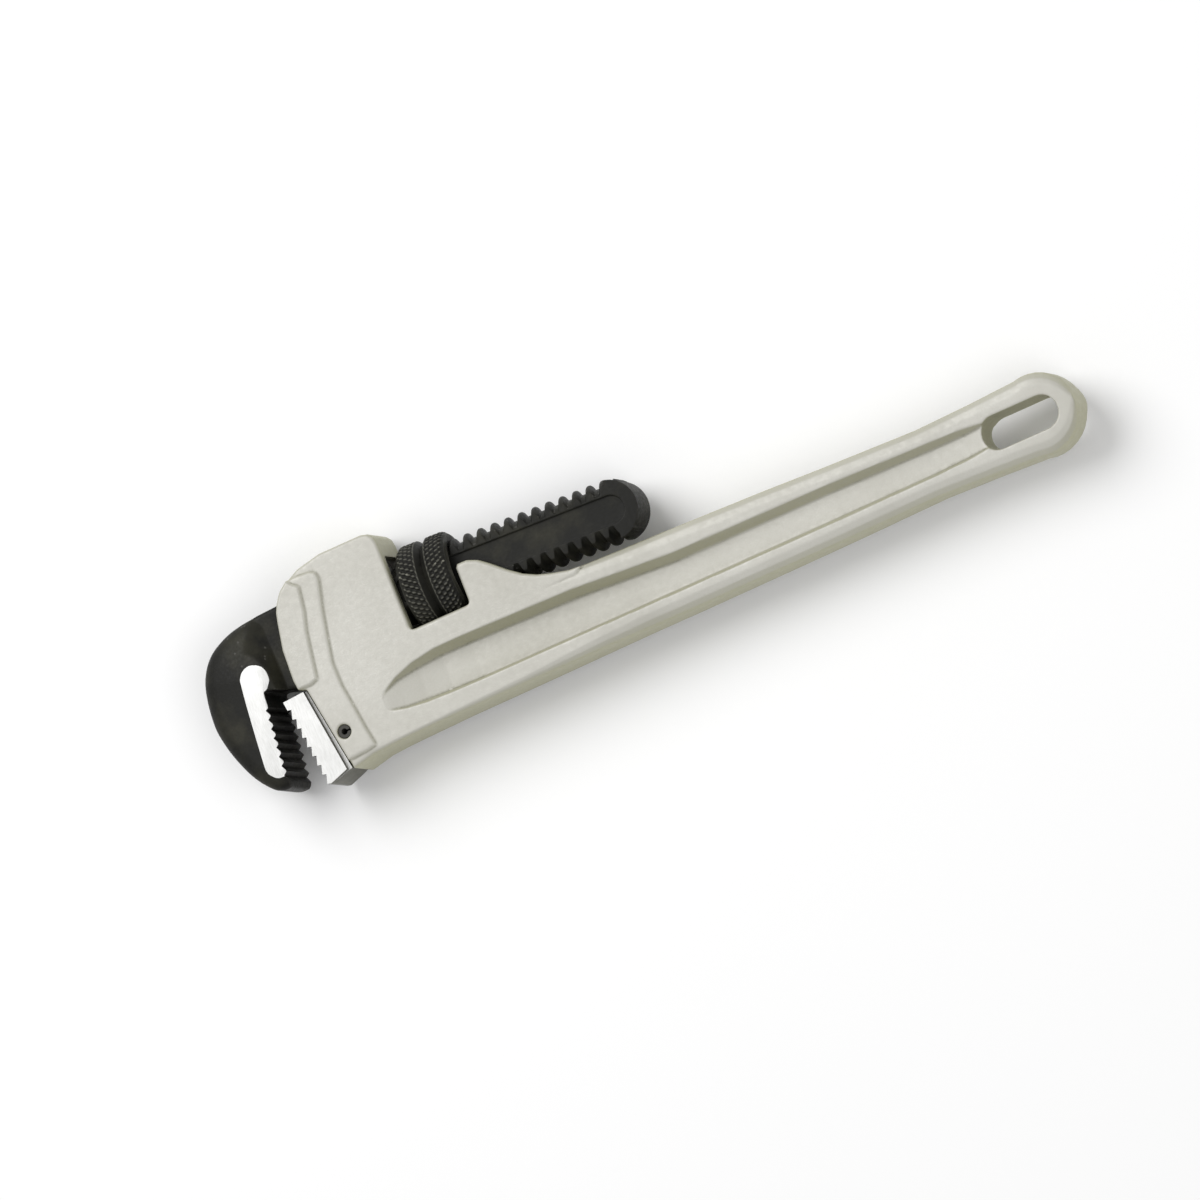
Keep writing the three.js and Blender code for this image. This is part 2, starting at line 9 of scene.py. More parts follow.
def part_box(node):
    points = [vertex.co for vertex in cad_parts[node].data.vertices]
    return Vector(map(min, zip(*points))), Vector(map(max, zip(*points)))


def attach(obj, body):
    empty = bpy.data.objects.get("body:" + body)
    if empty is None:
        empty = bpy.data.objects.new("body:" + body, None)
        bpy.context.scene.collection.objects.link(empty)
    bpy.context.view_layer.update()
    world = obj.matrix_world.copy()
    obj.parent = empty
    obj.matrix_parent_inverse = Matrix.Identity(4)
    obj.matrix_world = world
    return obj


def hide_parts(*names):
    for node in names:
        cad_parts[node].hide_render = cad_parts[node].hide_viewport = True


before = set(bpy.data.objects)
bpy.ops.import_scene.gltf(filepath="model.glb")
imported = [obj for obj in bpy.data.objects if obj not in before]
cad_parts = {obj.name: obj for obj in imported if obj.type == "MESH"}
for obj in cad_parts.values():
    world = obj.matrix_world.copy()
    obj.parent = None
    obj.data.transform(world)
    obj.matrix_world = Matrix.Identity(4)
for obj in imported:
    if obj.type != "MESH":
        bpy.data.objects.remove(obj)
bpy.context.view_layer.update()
MM = 0.001

# ---- the layout: x along the handle, y across it, z through its thickness from the middle ----
HANDLE_END_X = 348.5
HOUSING_TOP_Y = 85.0
handle_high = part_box("handle")[1]
nut_low, nut_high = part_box("adjusting_nut")
ORIGIN = Vector((handle_high[0] - HANDLE_END_X * MM, handle_high[1] - HOUSING_TOP_Y * MM,
                 (nut_low[2] + nut_high[2]) / 2))
BEYOND = 2  # how far most cutting tools reach past what they cut

# The head's flat sides, between the front pads and the bar.
HEAD_LEVEL = 12.15
HEAD_FROM_X = 56
HEAD_TO_X = 151

# The thread that the nut and the shank share.
THREAD_PITCH = 5.6
THREAD_RADIUS = 12.3
THREAD_DEPTH = 2.0
FLANK_WIDTH = 1.0
PROFILE_POINTS = 12

# The nut, centred on the shank's axis.
NUT_CENTRE = (95.6, 59.5)
NUT_LENGTH = 19.6
NUT_RADIUS = 16.4
NUT_GROOVE = 2.2  # both the depth of the V groove and half its width
NUT_CHAMFER = 1.6
NUT_CREST = 1.7
NUT_CLEARANCE = 0.4
KNURL_RIDGES = 44
KNURL_TWIST = 1.76  # how far the ridges' wave shifts per millimetre, in radians
KNURL_DEPTH = 0.75
KNURL_END_GAP = 0.6

# The shank, along its own axis from the nut's centre.
SHANK_SLOPE = -0.049
SHANK_TURN = Matrix.Rotation(math.atan(SHANK_SLOPE), 4, "Z")
SHANK_HALF = 8.0
SHANK_START = -17.6
SHANK_TIP = 84.6
SHANK_CREST = 1.5
SHANK_EXTRA_DEPTH = 0.4
THREAD_END = 80.5
PLAIN_TIP_START = 74.5
PLAIN_TIP_INSET = 0.9
RECESS_SPAN = (-14, 79.6)
RECESS_WIDTH = 11
RECESS_DEPTH = 1.1

# The hook jaw: its back from the neck to the lower tip, its straight toothed face, its throat.
JAW_HALF = 13.7
JAW_BACK = [(28, 73.9), (20.3, 73), (13.2, 71.1), (6, 67.2), (1, 61), (-1.7, 53), (-2.8, 43),
            (-2, 36), (0.7, 27), (5, 18), (10.2, 11.5), (13.8, 9.4), (17.3, 9.1)]
FACE_LOW = Vector((18.3, 11.4))
FACE_HIGH = Vector((21.2, 39.8))
JAW_THROAT = [(21.7, 45.7), (24.3, 45.4), (27, 44.4), (30, 43.2), (30, 73.9)]
HOOK_TEETH = 8
TOOTH_DEPTH = 1.5
TOOTH_LAND = 0.25
TOOTH_ROOT_SHARE = 0.75

# The hook jaw's sides: a ground flat beside the teeth, a crown round it, a shoulder at the neck.
FLAT_LEVEL = 13.6
GROUND_FLAT = [(15.2, 53), (14.2, 45), (13.2, 35), (12.3, 25), (11.6, 15.5), (12.2, 12.3),
               (14.5, 10.4), (17.6, 9.9), (19.2, 11.2), (19.6, 13), (22.4, 39), (22.2, 45),
               (23.4, 47.5), (25, 49.5), (25.3, 51.5), (24.6, 53.6), (22.4, 55.4), (19.6, 56.3),
               (16.8, 55.2)]
CROWN_SLOPE = 0.16
CROWN_CURVE = 0.004
SHOULDER_X = 29.2
SHOULDER_LEVEL = SHANK_HALF - 0.2
SHOULDER_STEEP = 1.7
SHOULDER_GENTLE = 0.5
SHOULDER_EASES_Y = (52, 62)  # steep up to the first y, gentle from the second
SHOULDER_ROUNDING = 0.8
BACK_RADIUS = 6.0
BACK_DROP = 0.55

# The neck between jaw and shank: its outline, and where that meets the shank's two edges.
NECK_BELOW = [(20, 48), (24.3, 45.4), (32.6, 42.2), (36, 41.6), (40, 41.8), (44, 43.2), (50, 47)]
NECK_ABOVE = [(28, 73.9), (20, 72.9)]
NECK_MEETS_BELOW = -41
NECK_MEETS_ABOVE = -58
NECK_END = -17.2
NECK_INSET = 0.2
NECK_BEVEL = 1.2

# ---- camera, lights and floor, in the frame's metres ----
VIEW = Vector((0.256, -0.150, 0.951)).normalized()
IMAGE_TURN = 0.1303
FRAME_WIDTH = 0.4424
LENS = 600
SENSOR = 36
LIGHTS = {"key": {"place": (-0.7, 0.9, 1.5), "size": 1.6, "power": 27},
          "fill": {"place": (0.8, -0.6, 1.4), "size": 1.2, "power": 7}}
SKY_STRENGTH = 0.46
FLOOR_HALF = 4
FLOOR_LOW = -0.02
FLOOR_TOP = -0.0005


def at(x, y, z=0.0):
    """A layout point in the frame, in metres."""
    return ORIGIN + Vector((x, y, z)) * MM


AIM = at(154.64, 25.7, 14)


def to_frame(obj):
    """Moves a mesh drawn in layout millimetres into the frame."""
    obj.data.transform(Matrix.Translation(ORIGIN) @ Matrix.Scale(MM, 4))
    return obj


def on_shank(obj):
    """Turns a mesh drawn along the shank's own axis, from the nut's centre, into the layout."""
    obj.data.transform(Matrix.Translation((*NUT_CENTRE, 0)) @ SHANK_TURN)
    return obj


def shank_point(x, y):
    """The layout point that lies x along the shank's axis from the nut's centre, and y off it."""
    turned = SHANK_TURN @ Vector((x, y, 0))
    return (turned.x + NUT_CENTRE[0], turned.y + NUT_CENTRE[1])


def clamped(value, low=0, high=1):
    return min(max(value, low), high)


# ---- outlines ----
def smooth_line(points, steps):
    """A curve through all the points (Catmull-Rom)."""
    pts = [Vector(p).to_3d() for p in points]
    ends = [2 * pts[0] - pts[1]] + pts + [2 * pts[-1] - pts[-2]]
    line = []
    for a, b, c, d in zip(ends, ends[1:], ends[2:], ends[3:]):
        line += interpolate_bezier(b, b + (c - a) / 6, c - (d - b) / 6, c, steps)[:-1]
    line.append(pts[-1])
    return [(p.x, p.y) for p in line]


def arc(cx, cy, radius, start, end, steps=12):
    angles = [math.radians(start + (end - start) * i / steps) for i in range(steps + 1)]
    return [(cx + radius * math.cos(a), cy + radius * math.sin(a)) for a in angles]


def rectangle(x0, x1, y0, y1):
    return [(x0, y0), (x1, y0), (x1, y1), (x0, y1)]


def stadium(x0, x1, width):
    """A slot's outline round the x axis."""
    r = width / 2
    return arc(x0 + r, 0, r, 90, 270) + arc(x1 - r, 0, r, -90, 90)


def line_distances(points, xy):
    """How far each of the points xy is from a line through the points."""
    best = np.full(len(xy), np.inf)
    for start, end in zip(np.array(points[:-1]), np.array(points[1:])):
        along = end - start
        share = np.clip(((xy - start) @ along) / (along @ along), 0, 1)
        away = xy - start - share[:, None] * along
        best = np.minimum(best, np.hypot(away[:, 0], away[:, 1]))
    return best


def inside_outline(points, xy):
    """Which of the points xy lie inside a closed outline (crossings of a ray along x)."""
    inside = np.zeros(len(xy), bool)
    for (ax, ay), (bx, by) in zip(points, points[1:] + points[:1]):
        spans = (ay > xy[:, 1]) != (by > xy[:, 1])
        rise = by - ay if by != ay else 1
        inside ^= spans & (xy[:, 0] < ax + (xy[:, 1] - ay) * (bx - ax) / rise)
    return inside


# ---- meshes ----
def new_object(name, data):
    obj = bpy.data.objects.new(name, data)
    bpy.context.scene.collection.objects.link(obj)
    return obj


def from_lists(name, vertices, faces):
    mesh = bpy.data.meshes.new(name)
    mesh.from_pydata([tuple(v) for v in vertices], [], faces)
    mesh.validate()
    return new_object(name, mesh)


def cad_copy(name, node):
    """A new object with a copy of a CAD node's mesh."""
    return new_object(name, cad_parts[node].data.copy())


def prism(name, points, low, high):
    """A closed plate with the given outline between two heights."""
    count = len(points)
    area = sum(a[0] * b[1] - b[0] * a[1] for a, b in zip(points, points[1:] + points[:1]))
    outline = points if area > 0 else points[::-1]
    vertices = [(x, y, low) for x, y in outline] + [(x, y, high) for x, y in outline]
    faces = [tuple(range(count))[::-1], tuple(range(count, 2 * count))]
    faces += [(i, (i + 1) % count, (i + 1) % count + count, i + count) for i in range(count)]
    return from_lists(name, vertices, faces)


def applied(obj):
    """Applies the object's modifiers to its mesh."""
    deps = bpy.context.evaluated_depsgraph_get()
    mesh = bpy.data.meshes.new_from_object(obj.evaluated_get(deps))
    old = obj.data
    obj.modifiers.clear()
    obj.data = mesh
    bpy.data.meshes.remove(old)
    return obj


def combine(target, tool, operation):
    """Applies one boolean to the target and uses up the tool."""
    mod = target.modifiers.new("combine", "BOOLEAN")
    mod.solver = "MANIFOLD"
    mod.operation = operation
    mod.object = tool
    applied(target)
    bpy.data.objects.remove(tool)
    return target


def cut(target, tool):
    return combine(target, tool, "DIFFERENCE")


def join(target, tool):
    return combine(target, tool, "UNION")


def overlap(target, tool):
    return combine(target, tool, "INTERSECT")


def softened(obj, voxel, passes):
    """Remakes the surface in facets of one voxel, and smooths it so that edges come out round."""
    remesh = obj.modifiers.new("voxels", "REMESH")
    remesh.mode = "VOXEL"
    remesh.voxel_size = voxel
    smoothing = obj.modifiers.new("smooth", "SMOOTH")
    smoothing.factor = 0.5
    smoothing.iterations = passes
    return applied(obj)


def thinned(obj, ratio):
    """Keeps this share of the triangles."""
    mod = obj.modifiers.new("thin", "DECIMATE")
    mod.ratio = ratio
    return applied(obj)


def bevelled(obj, width, angle):
    """Bevels the edges that are sharper than the angle."""
    mod = obj.modifiers.new("bevel", "BEVEL")
    mod.width = width
    mod.segments = 2
    mod.limit_method = "ANGLE"
    mod.angle_limit = math.radians(angle)
    return applied(obj)


def shade(obj, angle):
    """Smooth shading, broken at edges sharper than the angle."""
    mesh = obj.data
    mesh.polygons.foreach_set("use_smooth", [True] * len(mesh.polygons))
    mesh.set_sharp_from_angle(angle=math.radians(angle))
    return obj


def coated(obj, *materials):
    obj.data.materials.clear()
    for material in materials:
        obj.data.materials.append(material)
    return obj


def placed(obj, body, node):
    """Rides the piece on its body and puts it in the CAD node's place."""
    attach(obj, body)
    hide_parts(node)
    return obj


# ---- materials: noise scales are per metre, bump distances in metres ----
class Nodes:
    """Short calls for building one procedural material."""

    def __init__(self, name):
        self.material = bpy.data.materials.new(name)
        self.material.use_nodes = True
        self.tree = self.material.node_tree
        self.shader = self.tree.nodes["Principled BSDF"]
        self.coords = self.tree.nodes.new("ShaderNodeTexCoord")

    def link(self, a, b):
        self.tree.links.new(a, b)

    def stretched(self, scale):
        """The object's coordinates with a scale for each axis."""
        mapping = self.tree.nodes.new("ShaderNodeMapping")
        mapping.inputs["Scale"].default_value = scale
        self.link(self.coords.outputs["Object"], mapping.inputs["Vector"])
        return mapping.outputs["Vector"]

    def noise(self, scale, detail=4, roughness=0.6, vector=None):
        node = self.tree.nodes.new("ShaderNodeTexNoise")
        node.inputs["Scale"].default_value = scale
        node.inputs["Detail"].default_value = detail
        node.inputs["Roughness"].default_value = roughness
        self.link(vector or self.coords.outputs["Object"], node.inputs["Vector"])
        return node.outputs["Fac"]

    def ramp(self, value, low, high, between=(0.35, 0.65)):
        """From low to high as the value goes from one end of a range to the other."""
        node = self.tree.nodes.new("ShaderNodeMapRange")
        node.inputs["From Min"].default_value = between[0]
        node.inputs["From Max"].default_value = between[1]
        node.inputs["To Min"].default_value = low
        node.inputs["To Max"].default_value = high
        self.link(value, node.inputs["Value"])
        return node.outputs["Result"]

    def mix(self, factor, a, b):
        """Colour a where the factor is 0, colour b where it is 1."""
        node = self.tree.nodes.new("ShaderNodeMix")
        node.data_type = "RGBA"
        self.link(factor, node.inputs["Factor"])
        for value, socket in ((a, node.inputs["A"]), (b, node.inputs["B"])):
            if isinstance(value, tuple):
                socket.default_value = (*value, 1)
            else:
                self.link(value, socket)
        return node.outputs["Result"]

    def bump(self, height, strength, distance, previous=None):
        node = self.tree.nodes.new("ShaderNodeBump")
        node.inputs["Strength"].default_value = strength
        node.inputs["Distance"].default_value = distance
        self.link(height, node.inputs["Height"])
        if previous:
            self.link(previous, node.inputs["Normal"])
        return node.outputs["Normal"]

    def sideways(self, low, high):
        """1 where the size of the normal's z is low or less, 0 where it is high or more."""
        split = self.tree.nodes.new("ShaderNodeSeparateXYZ")
        self.link(self.coords.outputs["Normal"], split.inputs["Vector"])
        size = self.tree.nodes.new("ShaderNodeMath")
        size.operation = "ABSOLUTE"
        self.link(split.outputs["Z"], size.inputs[0])
        return self.ramp(size.outputs["Value"], 1, 0, (low, high))

    def edges(self, start, full):
        """0 to 1 between two values of pointiness: above 0.5 outside edges, below it corners."""
        node = self.tree.nodes.new("ShaderNodeNewGeometry")
        return self.ramp(node.outputs["Pointiness"], 0, 1, (start, full))

    def finish(self, color, roughness, metallic, normal):
        self.link(color, self.shader.inputs["Base Color"])
        self.link(roughness, self.shader.inputs["Roughness"])
        self.shader.inputs["Metallic"].default_value = metallic
        self.link(normal, self.shader.inputs["Normal"])
        return self.material


def cast_aluminium():
    """Lacquered casting: pale grey sides and a fine grain, with painted shade: an olive-grey tone
    on the rims and a darker one in corners and creases.
    """
    dull, pale = (0.43, 0.42, 0.378), (0.505, 0.495, 0.455)
    painted_rim_shade = (0.43, 0.42, 0.285)
    painted_crease_shade = (0.17, 0.165, 0.11)
    speckle = (0.44, 0.435, 0.38)
    n = Nodes("cast_aluminium")
    clouds = n.noise(22, detail=3, roughness=0.5)
    grain = n.noise(1500, detail=2, roughness=0.5)
    pores = n.noise(420, detail=4, roughness=0.65)
    base = n.mix(n.ramp(clouds, 0, 1), dull, pale)
    # Faces that stand sideways, the rims, turn olive-grey: painted shade.
    base = n.mix(n.sideways(0.25, 0.985), base, painted_rim_shade)
    # Concave corners and creases turn dark: painted shade.
    base = n.mix(n.edges(0.496, 0.462), base, painted_crease_shade)
    color = n.mix(n.ramp(grain, 0, 0.35), base, speckle)
    normal = n.bump(grain, strength=0.35, distance=0.00012)
    normal = n.bump(pores, strength=0.25, distance=0.00025, previous=normal)
    return n.finish(color, n.ramp(pores, 0.42, 0.58), 0.15, normal)


def black_oxide(name, brown_share, edge_wear_and_glint):
    """Black-oxide forged steel, browner in patches, its outside edges lighter: a little wear, and
    on the nut a painted highlight along the knurl ridges.
    """
    black, brown, grey = (0.008, 0.008, 0.0065), (0.040, 0.038, 0.025), (0.022, 0.022, 0.019)
    n = Nodes(name)
    patches = n.noise(60, detail=5, roughness=0.6)
    scale = n.noise(900, detail=4, roughness=0.6)
    color = n.mix(n.ramp(patches, 0, brown_share, (0.45, 0.75)), black, brown)
    color = n.mix(n.ramp(scale, 0, 0.25), color, grey)
    # Outside edges turn lighter: a little wear on the forging, a painted highlight on the nut's
    # knurl ridges.
    color = n.mix(n.edges(0.52, 0.6), color, edge_wear_and_glint)
    normal = n.bump(scale, strength=0.35, distance=0.0002)
    normal = n.bump(patches, strength=0.2, distance=0.0006, previous=normal)
    n.shader.inputs["Specular IOR Level"].default_value = 0.16
    return n.finish(color, n.ramp(scale, 0.42, 0.6), 0, normal)


def ground_steel():
    """Ground sides with fine grinding lines; the faces that stand sideways are dark, as unground
    steel and as painted shade.
    """
    dull, bright = (0.56, 0.56, 0.545), (0.66, 0.66, 0.65)
    dark, brown = (0.055, 0.053, 0.035), (0.10, 0.096, 0.066)
    n = Nodes("ground_steel")
    lines = n.noise(1.0, detail=3, roughness=0.7, vector=n.stretched((2600, 300, 300)))
    clouds = n.noise(90, detail=3, roughness=0.5)
    scale = n.noise(900, detail=4, roughness=0.6)
    ground_side = n.mix(n.ramp(lines, 0, 1), dull, bright)
    unground_and_shaded_side = n.mix(n.ramp(scale, 0, 1), dark, brown)
    # Faces that stand sideways turn dark: unground steel, darkened further as painted shade.
    color = n.mix(n.sideways(0.8, 0.95), ground_side, unground_and_shaded_side)
    normal = n.bump(lines, strength=0.18, distance=0.00006)
    return n.finish(color, n.ramp(clouds, 0.34, 0.46), 0.3, normal)


def spring_steel():
    dark, light = (0.05, 0.052, 0.06), (0.10, 0.10, 0.105)
    n = Nodes("spring_steel")
    streaks = n.noise(700, detail=3, roughness=0.6)
    color = n.mix(n.ramp(streaks, 0, 1), dark, light)
    normal = n.bump(streaks, strength=0.1, distance=0.00008)
    return n.finish(color, n.ramp(streaks, 0.25, 0.4), 0.9, normal)


def paper_floor():
    n = Nodes("paper_floor")
    tone = n.noise(3, detail=2, roughness=0.5)
    color = n.mix(tone, (0.88, 0.88, 0.88), (0.9, 0.9, 0.9))
    normal = n.bump(n.noise(400), strength=0.02, distance=0.0002)
    return n.finish(color, n.ramp(tone, 0.7, 0.8), 0, normal)


# ---- handle ----
def levelled(obj, x_from, x_to, level, reach):
    """Brings the parts of both sides that lie near one level onto it, the nearer the flatter."""
    middle = ORIGIN.z
    low, high = at(x_from, 0).x, at(x_to, 0).x
    for vertex in obj.data.vertices:
        height = vertex.co.z - middle
        away = abs(height) - level * MM
        share = abs(away) / (reach * MM)
        if low < vertex.co.x < high and share < 1:
            vertex.co.z = middle + math.copysign(level * MM + away * share ** 2, height)
    return obj


def build_handle(material):
    handle = cad_copy("cast_handle", "handle")
    softened(handle, voxel=0.4 * MM, passes=4)
    thinned(handle, ratio=0.24)
    levelled(handle, HEAD_FROM_X, HEAD_TO_X, HEAD_LEVEL, reach=0.1)
    shade(handle, angle=50)
    return placed(coated(handle, material), "housing", "handle")


# ---- threads and shank ----
def thread_profile(radius, depth, crest):
    """One pitch of a thread as points (x, radius), with the crest in its middle."""
    profile = []
    for i in range(PROFILE_POINTS):
        x = (i / PROFILE_POINTS - 0.5) * THREAD_PITCH
        profile.append((x, radius - depth * clamped((abs(x) - crest / 2) / FLANK_WIDTH)))
    return profile


def threaded_rod(name, start, end, radius, depth, crest, sides):
    """A right-hand thread along x. Each row of points lies a little further along than the row
    before it, so the last row joins the first one a whole pitch along."""
    pitch = THREAD_PITCH
    turns = range(math.floor(start / pitch) - 1, math.ceil(end / pitch) + 2)
    profile = thread_profile(radius, depth, crest)
    row = [(turn * pitch + x, r) for turn in turns for x, r in profile]
    vertices = []
    for s in range(sides):
        angle = 2 * math.pi * s / sides
        advance = pitch * s / sides
        vertices += [(x + advance, r * math.cos(angle), r * math.sin(angle)) for x, r in row]

    def index(s, c):
        return s * len(row) + c if s < sides else c + PROFILE_POINTS

    faces = []
    last_c, last_s = len(row) - 1, sides - 1
    for s in range(sides):
        span = last_c if s < last_s else last_c - PROFILE_POINTS
        faces += [(index(s, c), index(s + 1, c), index(s + 1, c + 1), index(s, c + 1))
                  for c in range(span)]

    # Each end is closed by a fan from one point on the axis.
    low, high = len(vertices), len(vertices) + 1
    vertices += [(row[0][0] - pitch, 0, 0), (row[-1][0] + pitch, 0, 0)]
    for s in range(last_s):
        faces.append((low, index(s + 1, 0), index(s, 0)))
        faces.append((high, index(s, last_c), index(s + 1, last_c)))
    faces.append((low, index(0, PROFILE_POINTS), index(last_s, 0)))
    faces.append((high, index(last_s, last_c - PROFILE_POINTS), index(0, last_c)))
    for c in range(PROFILE_POINTS):
        faces.append((low, index(0, c), index(0, c + 1)))
        faces.append((high, index(last_s, last_c - c), index(last_s, last_c - c - 1)))
    rod = from_lists(name, vertices, faces)
    reach = radius + BEYOND
    return overlap(rod, prism("rod_span", rectangle(start, end, -reach, reach), -reach, reach))


def round_end(start, radius):
    """A plate's outline that ends in a half circle at the shank's tip."""
    half_circle = arc(SHANK_TIP - radius, 0, radius, -90, 90, steps=32)
    return [(start, -radius)] + half_circle + [(start, radius)]


def shank():
    """Threaded on its two round edges almost to the rounded tip, with flat recessed sides."""
    rod = threaded_rod("shank", SHANK_START, THREAD_END, THREAD_RADIUS,
                       THREAD_DEPTH + SHANK_EXTRA_DEPTH, SHANK_CREST, sides=144)
    behind_start, inside_shank, past_tip, wide = -30, 60, 90, 20
    overlap(rod, prism("flats", round_end(behind_start, THREAD_RADIUS), -SHANK_HALF, SHANK_HALF))

    # The tip is a hair thinner than the flats, so that the two share no face.
    tip_half = SHANK_HALF - 0.02
    tip_outline = round_end(inside_shank, THREAD_RADIUS - PLAIN_TIP_INSET)
    tip = prism("tip", tip_outline, -tip_half, tip_half)
    overlap(tip, prism("end_part", rectangle(PLAIN_TIP_START, past_tip, -wide, wide), -wide, wide))
    join(rod, tip)
    for side in (1, -1):
        low, high = sorted((side * (SHANK_HALF - RECESS_DEPTH), side * (SHANK_HALF + BEYOND)))
        cut(rod, prism("side_recess", stadium(*RECESS_SPAN, RECESS_WIDTH), low, high))
    softened(rod, voxel=0.22, passes=2)
    thinned(rod, ratio=0.3)
    return on_shank(rod)


# ---- hook jaw ----
def jaw_half_thickness(xy):
    """The side is flat beside the teeth, crowned towards the back, and slopes down to the neck."""
    flat = smooth_line(GROUND_FLAT + GROUND_FLAT[:1], steps=4)
    away = np.where(inside_outline(flat[:-1], xy), 0, line_distances(flat, xy))
    crowned = JAW_HALF - CROWN_SLOPE * away - CROWN_CURVE * away ** 2
    low_y, high_y = SHOULDER_EASES_Y
    up = np.clip((xy[:, 1] - low_y) / (high_y - low_y), 0, 1)
    slope = SHOULDER_STEEP + (SHOULDER_GENTLE - SHOULDER_STEEP) * up
    sloped = SHOULDER_LEVEL + slope * np.maximum(SHOULDER_X - xy[:, 0], 0)
    rounding = SHOULDER_ROUNDING
    near = np.clip(0.5 + (sloped - crowned) / (2 * rounding), 0, 1)
    return sloped * (1 - near) + crowned * near - rounding * near * (1 - near)


def jaw_block():
    """The jaw's thick part, its sides shaped and its back's edges rounded."""
    back = smooth_line(JAW_BACK, steps=6)
    outline = back + [tuple(FACE_LOW), tuple(FACE_HIGH)] + JAW_THROAT
    block = prism("hook_jaw_forging", outline, -JAW_HALF, JAW_HALF)
    softened(block, voxel=0.45, passes=0)
    mesh = block.data
    points = np.empty(len(mesh.vertices) * 3)
    mesh.vertices.foreach_get("co", points)
    points = points.reshape(-1, 3)
    xy = points[:, :2]
    half = jaw_half_thickness(xy)
    rounded = np.minimum(line_distances(back, xy) / BACK_RADIUS, 1)
    limit = half - BACK_RADIUS * BACK_DROP * (1 - np.sqrt(1 - (1 - rounded) ** 2))
    points[:, 2] = np.clip(points[:, 2] * half / JAW_HALF, -limit, limit)
    mesh.vertices.foreach_set("co", points.ravel())
    mesh.update()
    return block


def neck():
    reach = THREAD_RADIUS - NECK_INSET
    shank_end = [shank_point(NECK_MEETS_BELOW, -reach), shank_point(NECK_END, -reach),
                 shank_point(NECK_END, reach), shank_point(NECK_MEETS_ABOVE, reach)]
    plate = prism("neck", NECK_BELOW + shank_end + NECK_ABOVE, -SHANK_HALF, SHANK_HALF)
    return bevelled(plate, NECK_BEVEL, angle=35)


def tooth_notches():
    """Saw-tooth notches along the face, open to the front."""
    points = []
    for i in range(HOOK_TEETH):
        tip = FACE_LOW.lerp(FACE_HIGH, i / HOOK_TEETH)
        root = FACE_LOW.lerp(FACE_HIGH, (i + TOOTH_ROOT_SHARE) / HOOK_TEETH)
        points += [(tip.x, tip.y + TOOTH_LAND), (root.x - TOOTH_DEPTH, root.y)]
    front = FACE_HIGH.x + 3  # clear of the face at both ends
    points += [tuple(FACE_HIGH), (front, FACE_HIGH.y), (front, FACE_LOW.y)]
    return prism("tooth_notches", points, -JAW_HALF - BEYOND, JAW_HALF + BEYOND)


def build_hook_jaw(black, bright):
    """The ground flats are bright because the tool that cuts them brings its material along."""
    jaw = jaw_block()
    join(jaw, neck())
    softened(jaw, voxel=0.35, passes=4)
    thinned(jaw, ratio=0.4)
    join(jaw, shank())
    coated(jaw, black, bright)
    cut(jaw, tooth_notches())
    round_jaw = rectangle(-10, 30, 0, 80)
    for side in (1, -1):
        low, high = sorted((side * FLAT_LEVEL, side * (JAW_HALF + BEYOND)))
        tool = coated(prism("ground_flat", round_jaw, low, high), black, bright)
        for face in tool.data.polygons:
            face.material_index = 1
        cut(jaw, tool)
    to_frame(jaw)
    return placed(shade(jaw, angle=35), "hook", "hook_jaw")


# ---- adjusting nut ----
def nut_radius(x, angle):
    """The nut's outside: two knurled bands, a V groove between them and chamfered ends."""
    half = NUT_LENGTH / 2
    away = abs(x)
    body = NUT_RADIUS - max(NUT_GROOVE - away, 0) - max(away - (half - NUT_CHAMFER), 0)

    # The ridges are broad waves with flat tops and valleys, notched by a weaker wave across them.
    wave = math.cos(KNURL_RIDGES * angle + KNURL_TWIST * away)
    cross = math.cos(KNURL_RIDGES * angle - KNURL_TWIST * away)
    ridge = 0.5 + 0.375 * clamped(1.6 * wave, low=-1) + 0.25 * cross

    # They run out within a millimetre at the groove and at the nut's end.
    from_groove = clamped((away - NUT_GROOVE) / 0.8)
    from_end = clamped((half - KNURL_END_GAP - away) / 0.9)
    return body - KNURL_DEPTH * from_groove * from_end * (1 - clamped(ridge))


def build_nut(material):
    sides, rings = 440, 64
    half = NUT_LENGTH / 2
    vertices = []
    for i in range(rings + 1):
        x = -half + NUT_LENGTH * i / rings
        for s in range(sides):
            angle = 2 * math.pi * s / sides
            r = nut_radius(x, angle)
            vertices.append((x, r * math.cos(angle), r * math.sin(angle)))
    faces = []
    for i in range(rings):
        for s in range(sides):
            t = (s + 1) % sides
            faces.append((i * sides + s, i * sides + t, (i + 1) * sides + t, (i + 1) * sides + s))
    faces.append(tuple(range(sides))[::-1])
    faces.append(tuple(range(rings * sides, (rings + 1) * sides)))
    nut = from_lists("knurled_nut", vertices, faces)
    cut(nut, threaded_rod("bore", -half - BEYOND, half + BEYOND, THREAD_RADIUS + NUT_CLEARANCE,
                          THREAD_DEPTH, NUT_CREST + 2 * NUT_CLEARANCE, sides=96))
    to_frame(on_shank(nut))
    return placed(coated(shade(nut, angle=40), material), "nut", "adjusting_nut")


# ---- small parts ----
def build_heel_jaw(material):
    jaw = cad_copy("heel_jaw_insert", "heel_jaw")
    bevelled(jaw, 0.25 * MM, angle=25)
    return placed(coated(shade(jaw, angle=30), material), "housing", "heel_jaw")


def dress_cad_nodes(materials):
    """Gives the CAD nodes that are not replaced their materials."""
    for node, material in materials.items():
        coated(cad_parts[node], material)


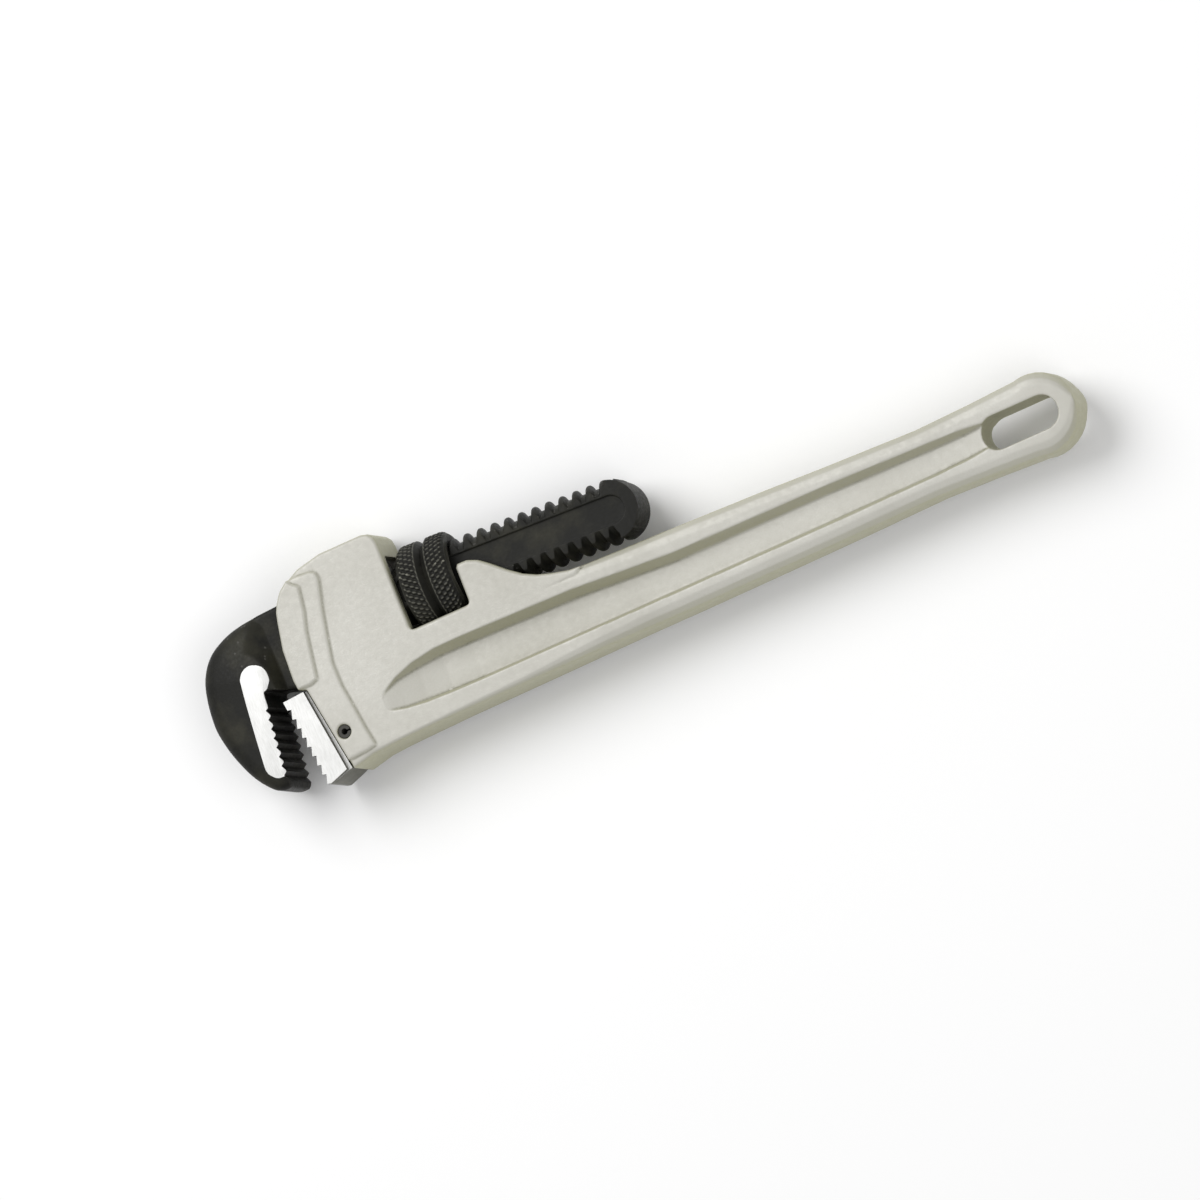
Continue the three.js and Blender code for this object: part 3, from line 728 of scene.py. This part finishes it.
# ---- stage ----
def add_camera():
    """A long lens that looks against VIEW. The picture's right is where the frame's -z points in
    it, turned by IMAGE_TURN."""
    data = bpy.data.cameras.new("camera")
    data.lens = LENS
    data.sensor_width = SENSOR
    data.clip_start = 0.05
    data.clip_end = 30
    camera = new_object("camera", data)
    down = (Vector((0, 0, -1)) + VIEW.z * VIEW).normalized()
    side = VIEW.cross(down)
    right = math.cos(IMAGE_TURN) * down + math.sin(IMAGE_TURN) * side
    up = math.cos(IMAGE_TURN) * side - math.sin(IMAGE_TURN) * down
    place = Matrix((right, up, VIEW)).transposed().to_4x4()
    place.translation = AIM + VIEW * (FRAME_WIDTH * LENS / SENSOR)
    camera.matrix_world = place
    bpy.context.scene.camera = camera


def area_light(name, place, size, power):
    """A round soft light that points at the wrench."""
    data = bpy.data.lights.new(name, "AREA")
    data.shape = "DISK"
    data.size = size
    data.energy = power
    light = new_object(name, data)
    light.location = place
    light.rotation_euler = (AIM - Vector(place)).to_track_quat("-Z", "Y").to_euler()


def build_stage():
    """A pale floor just under the wrench, a white sky, two lights and the camera."""
    outline = rectangle(-FLOOR_HALF, FLOOR_HALF, -FLOOR_HALF, FLOOR_HALF)
    floor = coated(prism("floor", outline, FLOOR_LOW, FLOOR_TOP), paper_floor())
    world = bpy.data.worlds.new("studio")
    world.use_nodes = True
    background = world.node_tree.nodes["Background"]
    background.inputs["Color"].default_value = (1, 1, 1, 1)
    background.inputs["Strength"].default_value = SKY_STRENGTH
    bpy.context.scene.world = world
    for name, light in LIGHTS.items():
        area_light(name, **light)
    bpy.context.scene.view_settings.view_transform = "Standard"
    add_camera()


# ---- the wrench ----
build_stage()
aluminium = cast_aluminium()
black = black_oxide("black_oxide_forging", 0.8, edge_wear_and_glint=(0.055, 0.053, 0.047))
# The nut's light edge colour is a painted highlight: glints along its knurl ridges.
black_nut = black_oxide("black_oxide_nut", 0.4, edge_wear_and_glint=(0.20, 0.195, 0.16))
ground = ground_steel()
spring = spring_steel()
build_handle(aluminium)
build_hook_jaw(black, ground)
build_nut(black_nut)
build_heel_jaw(ground)
dress_cad_nodes({"heel_jaw_pin": black, "coil_spring": spring, "spring_guide_pin": spring,
                 "flat_spring": spring, "flat_spring_rivet": spring})
